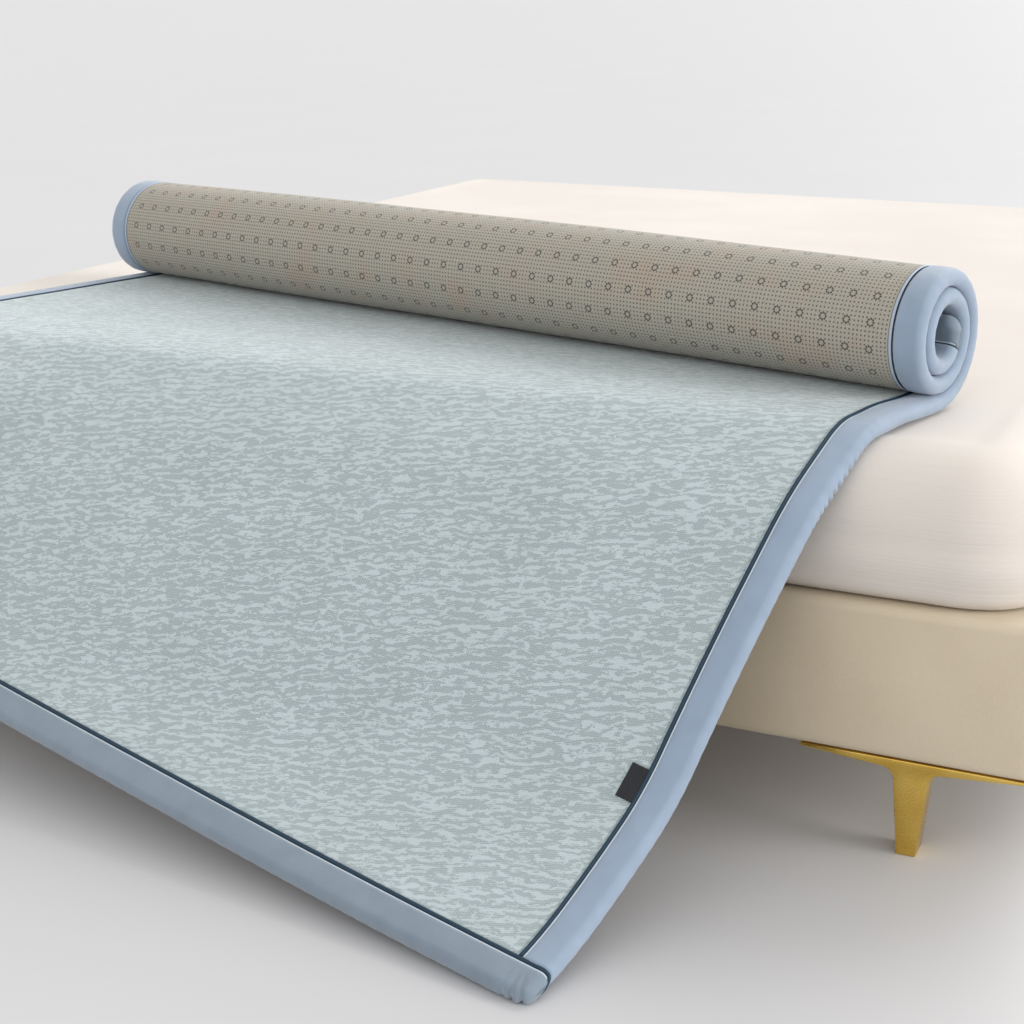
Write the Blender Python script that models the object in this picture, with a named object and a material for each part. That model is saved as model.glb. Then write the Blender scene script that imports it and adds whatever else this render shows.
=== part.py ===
"""Baby crawling mat, partly rolled up, hanging over the front edge of a plain bed.

The mat is laid out flat first: u runs across it from its right edge, v runs
from its front edge to its far edge and n runs up through its thickness. Every
cloth piece is drawn in u, v, n and then placed by one function, which folds
the mat over the mattress edge and winds its far part into a roll.
"""
import math

import bmesh
import bpy
from mathutils import Matrix, Vector

# Mat, in metres
WIDTH = 1.500
THICK = 0.0204
FELT = 0.0018
SEAM = 0.0400
CORD_RADIUS = 0.0024
CORE_CORD_RADIUS = 0.0018
CORD_DEPTH = 0.0012
VALLEY = 0.0051
GAP = 0.0003
HALF_GAP = GAP / 2
END_INSET = 0.00095
CORNER_ROUND = 0.018
COLUMNS = 8

# Where the mat lies, in metres and radians; y = 0 is the front of the bed base
TURNED = 0.2384
CORNER_X = -0.0524
CORNER_Y = -0.6856
FOLD_Y = 0.0979
BED_TOP = 0.4805
LYING_GAP = 0.0016

# The fold: distance down the mat from where it leaves the bed, slope in degrees
FOLD = [
    {"down": 0.00, "slope": 0.0},
    {"down": 0.05, "slope": 33.7},
    {"down": 0.11, "slope": 36.2},
    {"down": 0.19, "slope": 50.9},
    {"down": 0.28, "slope": 52.3},
    {"down": 0.37, "slope": 55.7},
    {"down": 0.46, "slope": 58.6},
    {"down": 0.55, "slope": 34.6},
    {"down": 0.66, "slope": 28.5},
    {"down": 0.82, "slope": 5.6},
]

# The roll
ROLL_START = 0.962
ROLL_RADIUS = 0.0702
ROLL_SWELL = 0.030
TURN_PITCH = 0.0234
STEPS_PER_TURN = 14
TURNS = 2.36

# Bed, in metres
BED_LEFT = -1.590
BED_RIGHT = 0.370
BED_DEPTH = 2.420
LEG_HEIGHT = 0.1207
BASE_HEIGHT = 0.1867
BASE_ROUND = 0.012
MATTRESS_INSET = 0.012
MATTRESS_PLAN_ROUND = 0.118
MATTRESS_TOP_ROUND = 0.100
MATTRESS_LOW_ROUND = 0.025

# Leg blade, seen from the front: a tapered plate with a post under its middle
PLATE_HALF = 0.134
PLATE_TIP = 0.0036
PLATE_ROOT = 0.011
POST_HALF_TOP = 0.020
POST_HALF_FOOT = 0.0115
FILLET = 0.016
BLADE_DEPTH = 0.036
LEG_INSET_X = 0.1535
LEG_INSET_Y = 0.004

# Label
LABEL_FROM = 0.258
LABEL_TO = 0.300
LABEL_WIDE = 0.0185
LABEL_THICK = 0.0012
LABEL_CLEAR = 0.0006

MATERIALS = {
    "jacquard": {"color": (0.62, 0.70, 0.71), "rough": 0.85, "metal": 0.0},
    "felt": {"color": (0.47, 0.44, 0.38), "rough": 0.95, "metal": 0.0},
    "binding": {"color": (0.38, 0.50, 0.64), "rough": 0.70, "metal": 0.0},
    "cord": {"color": (0.04, 0.12, 0.18), "rough": 0.75, "metal": 0.0},
    "tab": {"color": (0.02, 0.03, 0.05), "rough": 0.80, "metal": 0.0},
    "sheet": {"color": (0.86, 0.84, 0.80), "rough": 0.85, "metal": 0.0},
    "upholstery": {"color": (0.58, 0.52, 0.43), "rough": 0.80, "metal": 0.0},
    "brass": {"color": (0.66, 0.49, 0.16), "rough": 0.30, "metal": 1.0},
}


def start():
    for item in list(bpy.data.objects):
        bpy.data.objects.remove(item, do_unlink=True)
    group = bpy.data.collections.new("baby_crawling_mat")
    bpy.context.scene.collection.children.link(group)
    return group


def make_material(name):
    row = MATERIALS[name]
    mat = bpy.data.materials.get(name) or bpy.data.materials.new(name)
    mat.use_nodes = True
    shader = mat.node_tree.nodes["Principled BSDF"]
    shader.inputs["Base Color"].default_value = (*row["color"], 1.0)
    shader.inputs["Roughness"].default_value = row["rough"]
    shader.inputs["Metallic"].default_value = row["metal"]
    return mat


def add_object(group, name, bm, material):
    bmesh.ops.recalc_face_normals(bm, faces=bm.faces)
    mesh = bpy.data.meshes.new(name)
    bm.to_mesh(mesh)
    bm.free()
    mesh.materials.append(make_material(material))
    item = bpy.data.objects.new(name, mesh)
    group.objects.link(item)
    return item


# Placing the flat mat in the room


def fold_at(down):
    """Forward run, drop and slope of the mat's top face after a distance down the fold."""
    run = drop = slope = 0.0
    for low, high in zip(FOLD, FOLD[1:]):
        length = min(down, high["down"]) - low["down"]
        if length <= 0.0:
            break
        full = high["down"] - low["down"]
        first = math.radians(low["slope"])
        bend = math.radians(high["slope"] - low["slope"]) / full
        slope = first + bend * length
        if abs(bend) < 1e-6:
            run += length * math.cos(first)
            drop += length * math.sin(first)
        else:
            run += (math.sin(slope) - math.sin(first)) / bend
            drop += (math.cos(first) - math.cos(slope)) / bend
    beyond = down - FOLD[-1]["down"]
    if beyond > 0.0:
        run += beyond * math.cos(slope)
        drop += beyond * math.sin(slope)
    return run, drop, slope


def roll_angle(along):
    """Angle wound after a length of mat, with the roll getting tighter as it winds."""
    first = ROLL_RADIUS + TURN_PITCH - THICK / 2
    tighter = TURN_PITCH / (2 * math.pi)
    return (first - math.sqrt(first * first - 2 * tighter * along)) / tighter


def roll_length(angle):
    first = ROLL_RADIUS + TURN_PITCH - THICK / 2
    tighter = TURN_PITCH / (2 * math.pi)
    return first * angle - tighter * angle * angle / 2


LENGTH = ROLL_START + roll_length(2 * math.pi * TURNS)


def place(u, v, n):
    """Point of the mat in the room from its place in the flat mat."""
    sin_a = math.sin(TURNED)
    cos_a = math.cos(TURNED)
    flat_v = min(v, ROLL_START)
    x = CORNER_X - u * cos_a + flat_v * sin_a
    y = CORNER_Y + u * sin_a + flat_v * cos_a
    if v <= ROLL_START:
        run, drop, slope = fold_at(max(0.0, FOLD_Y - y))
        top_y = max(y, FOLD_Y) - run
        top_z = BED_TOP + LYING_GAP + THICK - drop
        under = THICK - n
        low_z = top_z - under * math.cos(slope)
        return Vector((x, top_y + under * math.sin(slope), max(low_z, 0.0)))
    angle = roll_angle(v - ROLL_START)
    middle = 1.0 - (2.0 * u / WIDTH - 1.0) ** 2
    radius = ROLL_RADIUS * (1.0 + ROLL_SWELL * middle) + TURN_PITCH
    here = radius - TURN_PITCH * angle / (2 * math.pi) - n
    back = Vector((sin_a, cos_a, 0.0))
    centre = Vector((x, y, BED_TOP + LYING_GAP + radius))
    return centre + back * (here * math.sin(angle)) - Vector((0, 0, 1)) * (here * math.cos(angle))


# Stations: lines across the mat, each given by its v at the right and left edges


def make_stations(first, last):
    """Lines across the mat between two seams, along the fold where the mat is folded."""
    skew = WIDTH * math.tan(TURNED)
    fold_right = (FOLD_Y - CORNER_Y) / math.cos(TURNED)
    near = first + VALLEY
    rows = [(first + END_INSET,) * 2, (first + VALLEY - FELT - GAP,) * 2, (near, near)]
    fan_left = 0.030
    for step in range(1, 10):
        share = step / 9
        rows.append((near + (skew + fan_left) * share, near + fan_left * share))
    start_right = near + skew + fan_left
    for step in range(1, 9):
        right = start_right + (fold_right - start_right) * step / 8
        rows.append((right, right - skew))
    for step in range(1, 4):
        share = step / 3
        right = fold_right + (ROLL_START - fold_right) * share
        left = fold_right - skew + (ROLL_START - fold_right + skew) * share
        rows.append((right, left))
    step = 1
    while True:
        v = ROLL_START + roll_length(2 * math.pi * step / STEPS_PER_TURN)
        if v > last - VALLEY - 0.004:
            break
        rows.append((v, v))
        step += 1
    rows += [(last - VALLEY,) * 2, (last - VALLEY + FELT + GAP,) * 2, (last - END_INSET,) * 2]
    return rows


def v_at(row, u):
    return row[0] + (row[1] - row[0]) * u / WIDTH


def end_inset(index, count):
    """How far the faces drop at the ends, where a piece slopes down to a cross seam."""
    offsets = {0: VALLEY - END_INSET, 1: FELT + GAP, count - 2: FELT + GAP, count - 1: VALLEY - END_INSET}
    return offsets.get(index, 0.0)


def loft(group, name, stations, material):
    """Solid through a row of sections; each section is a list of low and high point pairs."""
    bm = bmesh.new()
    rows = [[(bm.verts.new(low), bm.verts.new(high)) for low, high in pairs] for pairs in stations]
    for side in (0, 1):
        for here, there in zip(rows, rows[1:]):
            for i in range(len(here) - 1):
                a, b, c, d = here[i][side], here[i + 1][side], there[i + 1][side], there[i][side]
                bm.faces.new((a, b, c))
                bm.faces.new((a, c, d))
    for here, there in zip(rows, rows[1:]):
        for i in (0, -1):
            bm.faces.new((here[i][0], here[i][1], there[i][1]))
            bm.faces.new((here[i][0], there[i][1], there[i][0]))
    for row in (rows[0], rows[-1]):
        for i in range(len(row) - 1):
            bm.faces.new((row[i][0], row[i + 1][0], row[i + 1][1], row[i][1]))
    return add_object(group, name, bm, material)


def column_list():
    """Columns across the top and backing, with a narrow one beside the seam for the label."""
    low = SEAM + VALLEY
    high = WIDTH - SEAM - VALLEY
    even = [low + (high - low) * i / COLUMNS for i in range(COLUMNS + 1)]
    return even[:1] + [low + LABEL_WIDE + 0.004] + even[1:]


def panel_pairs(inset):
    """Section of the quilted top: full face in the middle, sloped to the seams at the sides."""
    under = FELT + GAP
    low_n = max(under, inset)
    high_n = THICK - inset
    rim = VALLEY - HALF_GAP
    pairs = [((SEAM + HALF_GAP, rim), (SEAM + HALF_GAP, THICK - rim))]
    columns = column_list()
    for i, u in enumerate(columns):
        side = 1 if i == 0 else -1 if i == len(columns) - 1 else 0
        pairs.append(((u - side * low_n, low_n), (u - side * inset, high_n)))
    pairs.append(((WIDTH - SEAM - HALF_GAP, rim), (WIDTH - SEAM - HALF_GAP, THICK - rim)))
    return pairs


def binding_pairs(inset, steps=1):
    """Section of an edge binding, from its seam to its rounded outer edge at zero."""
    half = THICK / 2 - inset
    rim = VALLEY - HALF_GAP
    pairs = [((SEAM - HALF_GAP, rim), (SEAM - HALF_GAP, THICK - rim))]
    for step in range(steps):
        u = SEAM - VALLEY + inset - (SEAM - VALLEY - THICK / 2) * step / steps
        pairs.append(((u, inset), (u, THICK - inset)))
    for turn in (0, 30, 58, 80):
        u = THICK / 2 - half * math.sin(math.radians(turn))
        rise = half * math.cos(math.radians(turn))
        pairs.append(((u, THICK / 2 - rise), (u, THICK / 2 + rise)))
    return pairs


def long_piece(group, name, make_pairs, rows, material, mirrored=False):
    """Cloth piece that runs the length of the mat through all the stations."""
    stations = []
    for index, row in enumerate(rows):
        pairs = make_pairs(end_inset(index, len(rows)))
        section = []
        for pair in pairs:
            spots = []
            for u, n in pair:
                u = WIDTH - u if mirrored else u
                spots.append(place(u, v_at(row, u), n))
            section.append(tuple(spots))
        stations.append(section)
    return loft(group, name, stations, material)


def felt_pairs(inset):
    return [((u, 0.0), (u, FELT)) for u in column_list()]


def cross_binding(group, name, v_edge, toward):
    """Binding across the full width of the mat, with a rounded, puffy end at each side."""
    half = THICK / 2
    across = [(half * (1 - math.cos(math.radians(turn))), math.radians(turn)) for turn in (20, 50, 90)]
    across.append((0.6 * SEAM, math.pi / 2))
    middle = [(u, math.pi / 2) for u in column_list()]
    stations = []
    for mirrored, spots in ((False, across), (False, middle), (True, reversed(across))):
        for u, turn in spots:
            side = min(u, WIDTH - u)
            cut = 0.0
            if side < CORNER_ROUND:
                cut = CORNER_ROUND - math.sqrt(CORNER_ROUND ** 2 - (CORNER_ROUND - side) ** 2)
            section = []
            for pair in binding_pairs(0.0, 4):
                points = []
                for reach, n in pair:
                    share = (SEAM - VALLEY - reach) / (SEAM - VALLEY)
                    depth = reach + cut * max(0.0, share)
                    tall = abs(half - n)
                    level = half + math.copysign(tall * math.sin(turn), n - half)
                    spot = u + (half - tall) * math.cos(turn)
                    spot = WIDTH - spot if mirrored else spot
                    points.append(place(spot, v_edge + toward * depth, level))
                section.append(tuple(points))
            stations.append(section)
    return loft(group, name, stations, "binding")


# Piping: a round cord in the valley of each seam


def cord(group, name, frames, radius, closed):
    """Cord along a list of frames, each with a centre, an outward and a sideways direction."""
    sides = 6
    bm = bmesh.new()
    rings = []
    for centre, out, side in frames:
        ring = []
        for i in range(sides):
            turn = 2 * math.pi * (i + 0.5) / sides
            ring.append(bm.verts.new(centre + radius * (out * math.cos(turn) + side * math.sin(turn))))
        rings.append(ring)
    following = rings[1:] + rings[:1] if closed else rings[1:]
    for here, there in zip(rings, following):
        for i in range(sides):
            j = (i + 1) % sides
            bm.faces.new((here[i], here[j], there[j]))
            bm.faces.new((here[i], there[j], there[i]))
    if not closed:
        bm.faces.new(rings[0])
        bm.faces.new(rings[-1])
    return add_object(group, name, bm, "cord")


def frame_at(u, v, n, du, dv, dn):
    """Centre, outward direction and sideways direction of a cord at one place in the mat."""
    step = 0.0004
    centre = place(u, v, n)
    out = place(u + du * step, v + dv * step, n + dn * step) - centre
    return centre, out.normalized()


def side_cord(group, name, u_seam, face, rows):
    reach = CORD_RADIUS + GAP + 0.0003
    first = v_at(rows[0], u_seam) - END_INSET + reach
    last = v_at(rows[-1], u_seam) + END_INSET - reach
    stops = [first] + [v_at(row, u_seam) for row in rows[3:-3]] + [last]
    level = THICK - CORD_DEPTH if face > 0 else CORD_DEPTH
    frames = []
    for v in stops:
        centre, out = frame_at(u_seam, v, level, 0.0, 0.0, face)
        ahead = place(u_seam, min(v + 0.003, last), level) - place(u_seam, max(v - 0.003, first), level)
        side = ahead.normalized().cross(out).normalized()
        frames.append((centre, out, side))
    return cord(group, name, frames, CORD_RADIUS, False)


def cross_cord(group, name, v_seam, radius):
    """Cord that goes right round the mat: over its top, round both sides and under it."""
    half = THICK / 2 - CORD_DEPTH
    stops = [(u, THICK - CORD_DEPTH, 0.0, 1.0) for u in [THICK / 2, SEAM] + column_list() + [WIDTH - SEAM]]
    for turn in (90, 45, 0, -45):
        rise = math.sin(math.radians(turn))
        reach = math.cos(math.radians(turn))
        stops.append((WIDTH - THICK / 2 + half * reach, THICK / 2 + half * rise, reach, rise))
    mirrored = [(WIDTH - u, THICK - n, -du, -dn) for u, n, du, dn in stops]
    frames = []
    for u, n, du, dn in stops + mirrored:
        centre, out = frame_at(u, v_seam, n, du, 0.0, dn)
        side = place(u, v_seam + 0.0004, n) - centre
        frames.append((centre, out, side.normalized()))
    return cord(group, name, frames, radius, True)


def build_mat(group):
    rows = make_stations(SEAM, LENGTH - SEAM)
    long_piece(group, "mat_top", panel_pairs, rows, "jacquard")
    long_piece(group, "mat_backing", felt_pairs, rows[2:-2], "felt")
    long_piece(group, "binding_right", binding_pairs, rows, "binding")
    long_piece(group, "binding_left", binding_pairs, rows, "binding", True)
    cross_binding(group, "binding_front", 0.0, 1)
    cross_binding(group, "binding_far", LENGTH, -1)
    side_cord(group, "piping_right_top", SEAM, 1, rows)
    side_cord(group, "piping_right_back", SEAM, -1, rows)
    side_cord(group, "piping_left_top", WIDTH - SEAM, 1, rows)
    side_cord(group, "piping_left_back", WIDTH - SEAM, -1, rows)
    cross_cord(group, "piping_front", SEAM, CORD_RADIUS)
    cross_cord(group, "piping_far", LENGTH - SEAM, CORE_CORD_RADIUS)


def build_label(group):
    """Blank woven tab caught in the right side seam and lying on the top."""
    rows = make_stations(SEAM, LENGTH - SEAM)
    near = SEAM + VALLEY - 0.0006
    stops = [LABEL_FROM, LABEL_TO]
    stops += [v_at(row, near) for row in rows if LABEL_FROM < v_at(row, near) < LABEL_TO]
    stations = []
    for v in sorted(stops):
        pairs = []
        for u in (near, near + LABEL_WIDE):
            low, high = [(a, b) for a, b in zip(rows, rows[1:]) if v_at(a, near) <= v < v_at(b, near)][0]
            share = (v - v_at(low, near)) / (v_at(high, near) - v_at(low, near))
            levels = []
            for n in (THICK + LABEL_CLEAR, THICK + LABEL_CLEAR + LABEL_THICK):
                levels.append(place(u, v_at(low, u), n).lerp(place(u, v_at(high, u), n), share))
            pairs.append(tuple(levels))
        stations.append(pairs)
    loft(group, "label", stations, "tab")


# Bed


def block(low, high):
    bm = bmesh.new()
    bmesh.ops.create_cube(bm, size=1.0)
    size = [b - a for a, b in zip(low, high)]
    middle = [(a + b) / 2 for a, b in zip(low, high)]
    bmesh.ops.scale(bm, vec=size, verts=bm.verts)
    bmesh.ops.translate(bm, vec=middle, verts=bm.verts)
    return bm


def round_edges(bm, picked, offset, segments):
    edges = [e for e in bm.edges if picked(e)]
    bmesh.ops.bevel(bm, geom=edges, offset=offset, segments=segments, affect="EDGES", profile=0.5)


def build_bed(group):
    base_top = LEG_HEIGHT + BASE_HEIGHT
    bm = block((BED_LEFT, 0.0, LEG_HEIGHT), (BED_RIGHT, BED_DEPTH, base_top - GAP))
    round_edges(bm, lambda e: True, BASE_ROUND, 2)
    add_object(group, "bed_base", bm, "upholstery")

    low = (BED_LEFT + MATTRESS_INSET, MATTRESS_INSET, base_top)
    high = (BED_RIGHT - MATTRESS_INSET, BED_DEPTH - MATTRESS_INSET, BED_TOP)
    bm = block(low, high)
    upright = lambda e: abs(e.verts[0].co.z - e.verts[1].co.z) > 0.01
    round_edges(bm, upright, MATTRESS_PLAN_ROUND, 5)
    at_level = lambda e, z: all(abs(v.co.z - z) < 1e-6 for v in e.verts)
    round_edges(bm, lambda e: at_level(e, BED_TOP), MATTRESS_TOP_ROUND, 5)
    round_edges(bm, lambda e: at_level(e, base_top), MATTRESS_LOW_ROUND, 2)
    add_object(group, "mattress", bm, "sheet")


def blade_outline():
    """Half of the leg blade, from the plate's tip to the foot, seen from the front."""
    points = [(PLATE_HALF, 0.0), (PLATE_HALF, -PLATE_TIP)]
    corner = (POST_HALF_TOP + FILLET, -PLATE_ROOT - FILLET)
    for turn in (90, 60, 30, 0):
        x = corner[0] - FILLET * math.cos(math.radians(turn))
        z = corner[1] + FILLET * math.sin(math.radians(turn))
        points.append((x, z))
    points.append((POST_HALF_FOOT, -LEG_HEIGHT + GAP))
    return points


def build_leg(group, name, x, y):
    half = blade_outline()
    points = half + [(-px, pz) for px, pz in reversed(half)]
    shape = bpy.data.curves.new(name + "_outline", "CURVE")
    shape.dimensions = "2D"
    shape.fill_mode = "BOTH"
    shape.extrude = BLADE_DEPTH / 2
    spline = shape.splines.new("POLY")
    spline.points.add(len(points) - 1)
    for spot, (px, pz) in zip(spline.points, points):
        spot.co = (px, pz, 0.0, 1.0)
    spline.use_cyclic_u = True
    drawn = bpy.data.objects.new(name + "_outline", shape)
    group.objects.link(drawn)
    bpy.context.view_layer.update()
    mesh = bpy.data.meshes.new_from_object(drawn.evaluated_get(bpy.context.evaluated_depsgraph_get()))
    bpy.data.objects.remove(drawn, do_unlink=True)
    bm = bmesh.new()
    bm.from_mesh(mesh)
    bpy.data.meshes.remove(mesh)
    bmesh.ops.remove_doubles(bm, verts=bm.verts, dist=0.00005)
    bmesh.ops.rotate(bm, cent=(0, 0, 0), matrix=Matrix.Rotation(math.pi / 2, 3, "X"), verts=bm.verts)
    bmesh.ops.translate(bm, vec=(x, y + BLADE_DEPTH / 2, LEG_HEIGHT - GAP), verts=bm.verts)
    add_object(group, name, bm, "brass")


def build_legs(group):
    for side, x in (("left", BED_LEFT + LEG_INSET_X), ("right", BED_RIGHT - LEG_INSET_X)):
        build_leg(group, "leg_front_" + side, x, LEG_INSET_Y)
        build_leg(group, "leg_back_" + side, x, BED_DEPTH - LEG_INSET_Y - BLADE_DEPTH)


def centre_all(group):
    """Put the middle of the whole object's footprint over the origin, on the floor."""
    low = Vector((1e9, 1e9, 1e9))
    high = -low
    for item in group.objects:
        for vert in item.data.vertices:
            low = Vector(map(min, low, vert.co))
            high = Vector(map(max, high, vert.co))
    shift = Vector((-(low.x + high.x) / 2, -(low.y + high.y) / 2, -low.z))
    for item in group.objects:
        item.data.transform(Matrix.Translation(shift))


parts = start()
build_mat(parts)
build_label(parts)
build_bed(parts)
build_legs(parts)
centre_all(parts)
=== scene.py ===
"""Looks of a baby crawling mat, partly rolled up, hanging over the front edge of a plain bed."""
import math

import bmesh
import bpy
import numpy as np
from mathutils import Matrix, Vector


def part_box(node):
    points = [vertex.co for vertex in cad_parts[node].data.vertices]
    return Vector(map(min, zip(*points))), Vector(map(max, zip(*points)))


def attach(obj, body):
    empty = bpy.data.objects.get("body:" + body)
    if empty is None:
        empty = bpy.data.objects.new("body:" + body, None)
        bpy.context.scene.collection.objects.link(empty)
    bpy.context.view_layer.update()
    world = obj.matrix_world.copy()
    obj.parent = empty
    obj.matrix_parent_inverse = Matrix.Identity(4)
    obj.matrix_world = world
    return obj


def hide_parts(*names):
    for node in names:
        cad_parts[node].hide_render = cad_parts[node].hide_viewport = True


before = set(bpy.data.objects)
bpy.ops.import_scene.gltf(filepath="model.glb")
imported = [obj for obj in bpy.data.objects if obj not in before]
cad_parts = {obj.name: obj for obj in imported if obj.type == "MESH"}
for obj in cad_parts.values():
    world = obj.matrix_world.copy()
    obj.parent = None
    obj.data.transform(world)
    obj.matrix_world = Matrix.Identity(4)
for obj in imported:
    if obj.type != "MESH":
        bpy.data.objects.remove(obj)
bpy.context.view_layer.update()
bed_low, bed_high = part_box("bed_base")
mattress_low, mattress_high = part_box("mattress")


# Camera: stands in front of the bed's right end, about a metre above the floor, and looks left
# and down, along the mat.

CAMERA_LENS = 61.87
CAMERA_BESIDE = 0.2259
CAMERA_BEFORE = 1.8903
CAMERA_HEIGHT = 1.0016
CAMERA_DIP = 0.2978
CAMERA_TURN = 0.4411

camera_data = bpy.data.cameras.new("camera")
camera_data.sensor_width = 36.0
camera_data.lens = CAMERA_LENS
camera = bpy.data.objects.new("camera", camera_data)
bpy.context.scene.collection.objects.link(camera)
camera.location = (bed_high.x + CAMERA_BESIDE, bed_low.y - CAMERA_BEFORE, CAMERA_HEIGHT)
camera.rotation_euler = (math.pi / 2 - CAMERA_DIP, 0.0, CAMERA_TURN)
bpy.context.scene.camera = camera


# Bed base: a low box covered in smooth cream upholstery, drawn tight over its frame. Its edges
# are soft, and the cover bulges a little between them.

BASE_CORNER = 0.018
BASE_EDGE = 0.012
BASE_BULGE = 0.003


def srgb(red, green, blue):
    """Linear colour from its everyday 0 to 255 values."""
    parts = [((c / 255 + 0.055) / 1.055) ** 2.4 if c > 10 else c / 3294.6 for c in (red, green, blue)]
    return (*parts, 1.0)


def new_material(name, roughness, metallic=0.0, sheen=0.0, coat=0.0):
    """Material with a Principled shader, and the tree and shader to build on."""
    material = bpy.data.materials.new(name)
    material.use_nodes = True
    shader = material.node_tree.nodes["Principled BSDF"]
    shader.inputs["Roughness"].default_value = roughness
    shader.inputs["Metallic"].default_value = metallic
    shader.inputs["Sheen Weight"].default_value = sheen
    shader.inputs["Coat Weight"].default_value = coat
    return material, material.node_tree, shader


def add(tree, kind, inputs=None, **settings):
    """New node; each input is a value or another node's output."""
    node = tree.nodes.new(kind)
    for key, value in settings.items():
        setattr(node, key, value)
    for key, value in (inputs or {}).items():
        if isinstance(value, bpy.types.NodeSocket):
            tree.links.new(value, node.inputs[key])
        else:
            node.inputs[key].default_value = value
    return node


def calc(tree, operation, first, second=0.0, third=0.0):
    """Result of a sum on values or sockets; a sum on one value takes only the first."""
    values = {0: first, 1: second, 2: third}
    if operation in ("SINE", "COSINE", "ABSOLUTE", "FRACT", "FLOOR", "SQRT"):
        values = {0: first}
    elif operation not in ("MULTIPLY_ADD", "SMOOTH_MIN"):
        values = {0: first, 1: second}
    return add(tree, "ShaderNodeMath", values, operation=operation).outputs[0]


def ramp(tree, value, low, high, start=0.0, end=1.0):
    """Soft step of a value from start to end as it goes from low to high."""
    node = add(tree, "ShaderNodeMapRange", interpolation_type="SMOOTHSTEP")
    amounts = {"Value": value, "From Min": low, "From Max": high, "To Min": start, "To Max": end}
    for key, amount in amounts.items():
        if isinstance(amount, bpy.types.NodeSocket):
            tree.links.new(amount, node.inputs[key])
        else:
            node.inputs[key].default_value = amount
    return node.outputs["Result"]


def mix_colour(tree, share, first, second):
    """First colour at a share of 0, second at 1."""
    node = add(tree, "ShaderNodeMix", data_type="RGBA")
    for index, value in ((0, share), (6, first), (7, second)):
        if isinstance(value, bpy.types.NodeSocket):
            tree.links.new(value, node.inputs[index])
        else:
            node.inputs[index].default_value = value
    return node.outputs[2]


def stretch(tree, place, factors):
    """Place with each of its coordinates multiplied by a factor."""
    return add(tree, "ShaderNodeVectorMath", {0: place, 1: factors}, operation="MULTIPLY").outputs[0]


def noise(tree, place, scale, detail=2.0, rough=0.5, distort=0.0):
    """Noise from 0 to 1 at a place."""
    node = add(tree, "ShaderNodeTexNoise", {"Vector": place, "Scale": scale, "Detail": detail,
                                            "Roughness": rough, "Distortion": distort})
    return node.outputs[0]


def bump(tree, shader, height, depth):
    """Raise the shader's surface by a height from 0 to 1 times a depth in metres."""
    node = add(tree, "ShaderNodeBump", {"Height": height, "Distance": depth, "Strength": 1.0})
    tree.links.new(node.outputs[0], shader.inputs["Normal"])


def object_place(tree):
    return add(tree, "ShaderNodeTexCoord").outputs["Object"]


def upholstery():
    material, tree, shader = new_material("cream_upholstery", 0.55, sheen=0.15)
    place = object_place(tree)
    patches = noise(tree, place, 5.0, 2.0)
    grain = noise(tree, place, 700.0, 2.0)
    colour = mix_colour(tree, ramp(tree, patches, 0.3, 0.7), srgb(205, 190, 164), srgb(213, 199, 175))
    tree.links.new(colour, shader.inputs["Base Color"])
    tree.links.new(ramp(tree, grain, 0.3, 0.7, 0.48, 0.62), shader.inputs["Roughness"])
    bump(tree, shader, grain, 0.0004)
    return material


def rounded_ring(half_x, half_y, corner, count):
    """Points of a rectangle with round corners, evenly spaced, from the middle of its right side."""
    corner = max(min(corner, half_x - 1e-4, half_y - 1e-4), 1e-4)
    straight_x, straight_y, arc = 2 * (half_x - corner), 2 * (half_y - corner), corner * math.pi / 2
    total = 2 * (straight_x + straight_y) + 4 * arc
    along = np.arange(count) / count * total
    points = np.zeros((count, 2))
    legs = [(straight_y / 2, 0), (arc, 0), (straight_x, 1), (arc, 1), (straight_y, 2), (arc, 2),
            (straight_x, 3), (arc, 3), (straight_y / 2, 4)]
    begun = 0.0
    corners = [(half_x - corner, half_y - corner), (corner - half_x, half_y - corner),
               (corner - half_x, corner - half_y), (half_x - corner, corner - half_y)]
    for index, (length, quarter) in enumerate(legs):
        here = (along >= begun - 1e-9) & (along < begun + length + 1e-9)
        step = along[here] - begun
        if index % 2:
            turn = quarter * math.pi / 2 + step / corner
            points[here] = np.stack([corners[quarter][0] + corner * np.cos(turn),
                                     corners[quarter][1] + corner * np.sin(turn)], axis=1)
        else:
            heading = quarter * math.pi / 2
            start = {0: (half_x, 0.0), 1: (half_x - corner, half_y), 2: (-half_x, half_y - corner),
                     3: (corner - half_x, -half_y), 4: (half_x, corner - half_y)}[quarter]
            points[here] = np.stack([start[0] - step * math.sin(heading),
                                     start[1] + step * math.cos(heading)], axis=1)
        begun += length
    return points


def finish_mesh(name, points, faces, material, uvs=None):
    """Object from points and faces, smooth, with an optional flat map given for each face corner."""
    mesh = bpy.data.meshes.new(name)
    mesh.from_pydata([tuple(p) for p in points], [], faces)
    if uvs is not None:
        layer = mesh.uv_layers.new(name="flat")
        layer.data.foreach_set("uv", np.asarray(uvs, np.float32).ravel())
    mesh.shade_smooth()
    mesh.materials.append(material)
    item = bpy.data.objects.new(name, mesh)
    bpy.context.scene.collection.objects.link(item)
    return item


def stacked(name, rings, material):
    """Closed body through a stack of rings with the same number of points, closed at both ends."""
    count = len(rings[0])
    points = np.concatenate(rings)
    faces = []
    for level in range(len(rings) - 1):
        for i in range(count):
            j = (i + 1) % count
            low = level * count
            faces.append((low + i, low + j, low + count + j, low + count + i))
    faces.append(tuple(reversed(range(count))))
    faces.append(tuple(range((len(rings) - 1) * count, len(rings) * count)))
    return finish_mesh(name, points, faces, material)


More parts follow.
